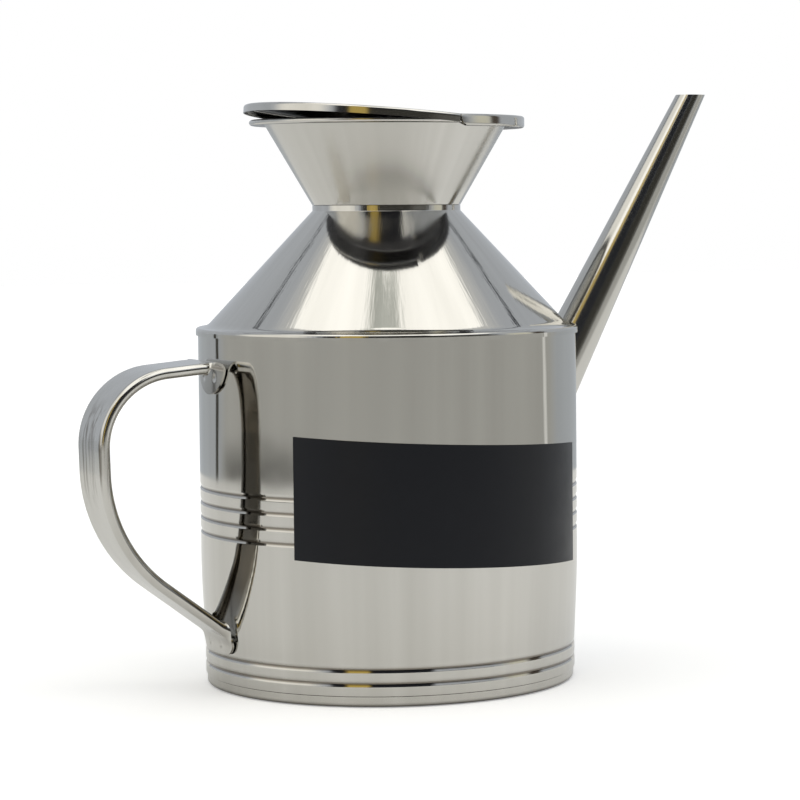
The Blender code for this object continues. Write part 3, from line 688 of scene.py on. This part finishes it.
to_bend = run_ends[-2] - marks
strap_curl = eased((marks - run_ends[2]) / top_curl_run) * eased(to_bend / foot_curl_run)
half_width = strap_half + (foot_tab_half - strap_half) * eased(1 - to_bend / foot_curl_run)
y, depth, slope = strap_section(np.maximum(strap_curl, 0.001)[:, None], half_width[:, None])
outer_y, outer_depth = y + np.sin(slope) * strap_sheet / 2, depth - np.cos(slope) * strap_sheet / 2
inner_y, inner_depth = y - np.sin(slope) * strap_sheet / 2, depth + np.cos(slope) * strap_sheet / 2
round_end = np.sqrt(1 - (1 - np.minimum(marks / strap_half, 1.0)) ** 2)
past_corner = np.maximum(0.0, foot_tab_corner - (run_ends[-1] - marks))
corner_end = 1 - (foot_tab_corner - np.sqrt(foot_tab_corner**2 - past_corner**2)) / half_width
narrow = np.maximum(round_end * corner_end, 0.02)[:, None]
ring_y = narrow * np.hstack([-outer_y[:, :0:-1], outer_y, inner_y[:, ::-1], -inner_y[:, 1:]])
ring_depth = np.hstack([outer_depth[:, :0:-1], outer_depth, inner_depth[:, ::-1], inner_depth[:, 1:]])
strap_x = route[:, :1] - np.sin(heading)[:, None] * ring_depth
strap_z = route[:, 1:] + np.cos(heading)[:, None] * ring_depth
top_hug = 1 - np.clip((marks - run_ends[1]) / runs[1], 0.0, 1.0)
foot_hug = 1 - np.clip(to_bend / runs[-2], 0.0, 1.0)
hug = (top_hug + foot_hug)[:, None]
strap_x = strap_x + hug * (abs(strap_x) - np.sqrt(strap_x**2 - ring_y**2))
for dimple_z in dimple_heights:
    away = ((strap_z - dimple_z) ** 2 + (abs(ring_y) - weld_spacing) ** 2) / dimple_width**2
    strap_x = strap_x + hug * dimple_depth * np.exp(-(away**2))
strap_grid = np.stack([strap_x, ring_y, strap_z], -1)
# Bright where the hand keeps it so, with long streaks up the grip, and painted shade inside the loop.
strap_steel = polished_steel("strap_stainless", 0.11, 0.06, 0.020 * MM, 0.0015 * MM, 0.0)
inside_shade_and_wear(strap_steel)
skin("curled_strap", [(strap_grid, False, True)], strap_steel, "can", "handle_strap")


# Label: a dark satin film wrapped a little crooked round the front, over the middle grooves. It is
# kept bare.
label_from, label_to = math.radians(-143.5), math.radians(-42.5)
label_bottom = 33.2 * MM
label_height = 28.0 * MM
label_sag = 4.2 * MM
label_inside = body_radius + 0.15 * MM
label_film = 0.15 * MM


def wrapped_film(radius, rows=24, columns=120):
    """A band at that radius: angle across, height up, lowered evenly by the sag towards its far end."""
    share = np.linspace(0.0, 1.0, columns)
    angle = label_from + (label_to - label_from) * share
    up = np.linspace(0.0, label_height, rows)[:, None]
    x, y, z = radius * np.cos(angle), radius * np.sin(angle), label_bottom + up - label_sag * share
    return np.stack(np.broadcast_arrays(x, y, z), -1)


def satin_film(name, colour):
    """Polypropylene film: near-black and satin, so that it shows a soft grey sheen where the
    light grazes it, with the faint orange-peel of film pressed on metal."""
    look = bpy.data.materials.new(name)
    look.use_nodes = True
    tree = look.node_tree
    shader = tree.nodes["Principled BSDF"]
    place = add(tree, "ShaderNodeTexCoord").outputs["Object"]
    cloud = add(tree, "ShaderNodeTexNoise", Vector=place, Scale=1 / (6 * MM), Detail=3.0)
    dull = add(tree, "ShaderNodeMapRange", Value=cloud.outputs["Fac"], i1=0.3, i2=0.7, i3=0.30, i4=0.38)
    tree.links.new(dull.outputs["Result"], shader.inputs["Roughness"])
    grain = add(tree, "ShaderNodeTexNoise", Vector=place, Scale=1 / (0.5 * MM), Detail=2.0)
    bump = add(tree, "ShaderNodeBump", Height=grain.outputs["Fac"], Strength=1.0, Distance=0.002 * MM)
    tree.links.new(bump.outputs["Normal"], shader.inputs["Normal"])
    shader.inputs["Base Color"].default_value = linear(colour)
    shader.inputs["Specular IOR Level"].default_value = 0.22
    return look


film = satin_film("charcoal_satin_film", "#17191F")
label_grid = np.concatenate([wrapped_film(label_inside + label_film), wrapped_film(label_inside)[::-1]])
skin("wrapped_label", [(label_grid, True, False)], film, "can", "front_label")


# Studio: a white paper floor in a light tent, with a lamp panel overhead. The tent's front is open
# towards the camera, and polished steel shows the dim room behind it as its dark bands.
picture_px = 800
focus_px = 2836
horizon_px_up = 204.5
axis_px_left = 212
picture_shift = -0.25
camera_azimuth = math.radians(-25.0)
camera_distance = 680 * MM
camera_height = 115.1 * MM
camera_roll = math.radians(-0.3)

towards = Vector((math.sin(camera_azimuth), -math.cos(camera_azimuth), 0.0))
rightwards = Vector((math.cos(camera_azimuth), math.sin(camera_azimuth), 0.0))
camera_data = bpy.data.cameras.new("camera")
camera_data.sensor_width = 36.0
camera_data.lens = focus_px / picture_px * camera_data.sensor_width
camera_data.clip_start = 10 * MM
camera_data.shift_x = picture_shift
camera = bpy.data.objects.new("camera", camera_data)
bpy.context.scene.collection.objects.link(camera)
bpy.context.scene.camera = camera
camera.location = towards * camera_distance + Vector((0.0, 0.0, camera_height))
pitch = math.atan(horizon_px_up / focus_px)
yaw = camera_azimuth - math.atan(axis_px_left / focus_px)
camera.rotation_mode = "XYZ"
camera.rotation_euler = (math.pi / 2 - pitch, 0.0, yaw)
camera.rotation_euler.rotate_axis("Z", camera_roll)


def compass(tree, place):
    """Azimuth of a place or direction in degrees, from the side that the photo was taken from and
    positive to its right. The room stands still when the camera moves. It comes with its size and
    with sideways."""
    dot = {"operation": "DOT_PRODUCT"}
    forward = add(tree, "ShaderNodeVectorMath", dot, i0=place, i1=towards).outputs["Value"]
    sideways = add(tree, "ShaderNodeVectorMath", dot, i0=place, i1=rightwards).outputs["Value"]
    turn = add(tree, "ShaderNodeMath", {"operation": "ARCTAN2"}, i0=sideways, i1=forward)
    azimuth = add(tree, "ShaderNodeMath", {"operation": "DEGREES"}, i0=turn.outputs[0]).outputs[0]
    size = add(tree, "ShaderNodeMath", {"operation": "ABSOLUTE"}, i0=azimuth).outputs[0]
    return azimuth, size, sideways


def patch(tree, under, hex_colour, *bounds, strength=1.0):
    """Lays that colour over what is seen so far, where each bound's value lies between its low and
    its high. Each edge is a smooth step, soft to both sides, and the steps are multiplied."""
    share = 1.0
    for value, low, high, soft in bounds:
        for start, stop in ((low - soft, low + soft), (high + soft, high - soft)):
            smooth = {"interpolation_type": "SMOOTHSTEP"}
            step = add(tree, "ShaderNodeMapRange", smooth, Value=value, i1=start, i2=stop).outputs[0]
            share = add(tree, "ShaderNodeMath", {"operation": "MULTIPLY"}, i0=share, i1=step).outputs[0]
    colour = [channel * strength for channel in linear(hex_colour)[:3]] + [1.0]
    return add(tree, "ShaderNodeMix", {"data_type": "RGBA"}, i0=share, i6=under, i7=colour).outputs[2]


world = bpy.data.worlds.new("light_tent")
bpy.context.scene.world = world
world.use_nodes = True
tree = world.node_tree
way = add(tree, "ShaderNodeTexCoord").outputs["Generated"]
azimuth, azimuth_size, sideways = compass(tree, way)
rise = add(tree, "ShaderNodeSeparateXYZ", Vector=way).outputs["Z"]
rise = add(tree, "ShaderNodeMath", {"operation": "ARCSINE"}, i0=rise).outputs[0]
elevation = add(tree, "ShaderNodeMath", {"operation": "DEGREES"}, i0=rise).outputs[0]
slanted = {"i0": azimuth, "i1": -0.17, "i2": elevation}
slanted = add(tree, "ShaderNodeMath", {"operation": "MULTIPLY_ADD"}, **slanted).outputs[0]
# The tent's grey walls, its lighter roof, and the dark seam where the roof meets the back wall.
seen = patch(tree, linear("#C0C5CC"), "#E0E1E0", (elevation, 52.0, 200.0, 5.0))
seen = patch(tree, seen, "#34363B", (elevation, 41.2, 42.6, 0.4), (azimuth_size, 100.0, 400.0, 0.01))
# The lamp panel: a round of 42 degrees that hangs forwards, 73 degrees up, with a strut across it.
hung = towards * math.cos(math.radians(73.0)) + Vector((0.0, 0.0, math.sin(math.radians(73.0))))
facing = add(tree, "ShaderNodeVectorMath", {"operation": "DOT_PRODUCT"}, i0=way, i1=hung).outputs["Value"]
seen = patch(tree, seen, "#FFFEFA", (facing, math.cos(math.radians(42.0)), 2.0, 0.025), strength=1.62)
seen = patch(tree, seen, "#CFD2CB", (sideways, -0.12, 0.08, 0.05), (elevation, 72.0, 84.4, 0.8))
# The dim room in front, its darkest stretch with a slanted upper edge, and its lighter right part.
seen = patch(tree, seen, "#3E3D39", (azimuth, -40.0, 66.0, 5.0), (elevation, -4.0, 24.0, 2.0))
seen = patch(tree, seen, "#2A2C31", (azimuth, -40.0, 28.0, 3.0), (slanted, 10.0, 44.0, 1.5))
seen = patch(tree, seen, "#666561", (azimuth, 38.0, 70.0, 8.0), (elevation, -8.0, 3.0, 3.0))
# A warm wooden post in the room, a side lamp at the left, and a cream wall with a dark edge.
seen = patch(tree, seen, "#CFB566", (azimuth, -29.0, -14.0, 2.0), (elevation, -2.0, 46.5, 1.5))
lamp_height = (elevation, -90.0, 58.0, 5.0)
seen = patch(tree, seen, "#FFFDF6", (azimuth, -97.0, -49.0, 8.0), lamp_height, strength=1.1)
wall_height = (elevation, -90.0, 24.0, 4.0)
seen = patch(tree, seen, "#E2E0D0", (azimuth, 77.0, 97.0, 7.0), wall_height)
seen = patch(tree, seen, "#58514A", (azimuth, 97.0, 108.0, 3.0), wall_height)
# The camera sees plain white all round. The steel shows this room, which also lights the can.
camera_ray = add(tree, "ShaderNodeLightPath").outputs["Is Camera Ray"]
plain = add(tree, "ShaderNodeMix", {"data_type": "RGBA"}, i0=camera_ray, i6=seen, i7=(1, 1, 1, 1))
tree.links.new(plain.outputs[2], tree.nodes["Background"].inputs["Color"])

# White paper: matt, with no sheen of its own. To the steel, and in the light it sends on, its colour is
# painted light and shade: white up to 53 cm from the can, more so at the right, and grey beyond, where the
# light falls off; painted shadow makes it darker near the left, it is bluish behind, and a white crease at
# the right and a dark fold at the left are painted highlight and painted shade. The camera sees it white
# all over.
floor_half, floor_drop = 3000 * MM, 0.2 * MM
floor_corners = [(-1, -1), (1, -1), (1, 1), (-1, 1)]
floor_mesh = bpy.data.meshes.new("floor")
floor_spots = [(x * floor_half, y * floor_half, -floor_drop) for x, y in floor_corners]
floor_mesh.from_pydata(floor_spots, [], [(0, 1, 2, 3)])
floor = bpy.data.objects.new("floor", floor_mesh)
bpy.context.scene.collection.objects.link(floor)
paper = bpy.data.materials.new("white_paper")
paper.use_nodes = True
tree = paper.node_tree
shader = tree.nodes["Principled BSDF"]
shader.inputs["Roughness"].default_value = 0.9
shader.inputs["Specular IOR Level"].default_value = 0.0
shader.inputs["Emission Color"].default_value = (1.0, 1.0, 1.0, 1.0)
place = add(tree, "ShaderNodeTexCoord").outputs["Object"]
azimuth, azimuth_size, _ = compass(tree, place)
distance = add(tree, "ShaderNodeVectorMath", {"operation": "LENGTH"}, i0=place).outputs["Value"]
near, far = (distance, -1.0, 0.53, 0.02), (distance, 0.53, 9.0, 0.008)
# Painted light and shade, for every ray but the camera's.
seen = patch(tree, linear("#F0F0EF"), "#FFFFFF", near, (azimuth, 35.0, 130.0, 35.0))
seen = patch(tree, seen, "#C2C2C0", far)
seen = patch(tree, seen, "#727270", far, (distance, 0.0, 0.67, 0.11), (azimuth, -116.0, -50.0, 14.0))
seen = patch(tree, seen, "#BFC4CB", far, (azimuth_size, 117.0, 200.0, 7.0))
seen = patch(tree, seen, "#FFFFFF", far, (azimuth, 106.0, 109.0, 0.8))
seen = patch(tree, seen, "#46443F", far, (azimuth, -125.5, -122.0, 0.5))
camera_ray = add(tree, "ShaderNodeLightPath").outputs["Is Camera Ray"]
white = linear("#F0F0F0")
plain = add(tree, "ShaderNodeMix", {"data_type": "RGBA"}, i0=camera_ray, i6=seen, i7=white)
tree.links.new(plain.outputs[2], shader.inputs["Base Color"])
glow = add(tree, "ShaderNodeMath", {"operation": "MULTIPLY"}, i0=camera_ray, i1=0.32)
tree.links.new(glow.outputs[0], shader.inputs["Emission Strength"])
floor_mesh.materials.append(paper)
bpy.context.scene.view_settings.view_transform = "Standard"
